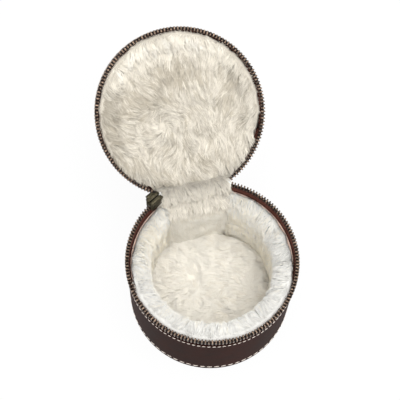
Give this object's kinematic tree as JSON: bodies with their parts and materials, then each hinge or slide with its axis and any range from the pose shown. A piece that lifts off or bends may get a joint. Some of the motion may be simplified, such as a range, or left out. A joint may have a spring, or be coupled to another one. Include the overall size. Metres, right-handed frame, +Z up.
{
  "type": "jewelry case",
  "caption": "Round keepsake case of dark leather, lined with long cream fur, closed by a metal zip round its rim, with its lid on a leather hinge.",
  "frame": {"origin": "centre of the round underside, on the surface the case stands on", "axes": "+Z up, +Y towards the hinge, +X to the right of someone facing the front"},
  "size_m": [0.12, 0.2229, 0.1325],
  "materials": {
    "brown_leather": "smooth semi-gloss, dark brown",
    "grey_board": "pressed paper board, matt",
    "sponge_padding": "foam sheet, matt",
    "cream_fur": "long-pile faux fur, matt",
    "lining_edge": "turned cloth edge, matt",
    "zip_tape": "woven tape, matt",
    "antique_brass": "antique, dark"
  },
  "bodies": {
    "base": {"base_bottom_leather": "brown_leather", "base_wall_leather": "brown_leather", "base_bottom_board": "grey_board", "base_wall_board": "grey_board", "base_bottom_padding": "sponge_padding", "base_wall_padding": "sponge_padding", "base_floor_fur": "cream_fur", "base_wall_fur": "cream_fur", "base_back_fur": "cream_fur", "base_lining_edge": "lining_edge", "base_zip_tape": "zip_tape", "base_zip_teeth": "antique_brass", "base_zip_stop_left": "antique_brass", "base_zip_stop_right": "antique_brass", "hinge_leather": "brown_leather", "hinge_fur": "cream_fur"},
    "lid": {"lid_top_leather": "brown_leather", "lid_wall_leather": "brown_leather", "lid_top_board": "grey_board", "lid_wall_board": "grey_board", "lid_top_padding": "sponge_padding", "lid_floor_fur": "cream_fur", "lid_wall_fur": "cream_fur", "lid_back_fur": "cream_fur", "lid_lining_edge": "lining_edge", "lid_zip_tape": "zip_tape", "lid_zip_teeth": "antique_brass", "lid_zip_stop_right": "antique_brass"},
    "slider": {"slider_body": "antique_brass"},
    "pull": {"pull_tab": "antique_brass"}
  },
  "joints": [
    {"name": "lid_hinge", "type": "hinge", "parent": "base", "child": "lid", "pos_m": [0, 0.0539, 0.0695], "axis": [1, 0, 0], "range_deg": [-12, 146], "deforming": ["hinge_leather", "hinge_fur"]},
    {"name": "slider_travel", "type": "hinge", "parent": "base", "child": "slider", "pos_m": [0, 0, 0.0695], "axis": [0, 0, 1], "range_deg": [0, 295.5]},
    {"name": "pull_swing", "type": "hinge", "parent": "slider", "child": "pull", "pos_m": [-0.03205, 0.05482, 0.0695], "axis": [0.8633, 0.5047, 0], "range_deg": [0, 35]}
  ]
}
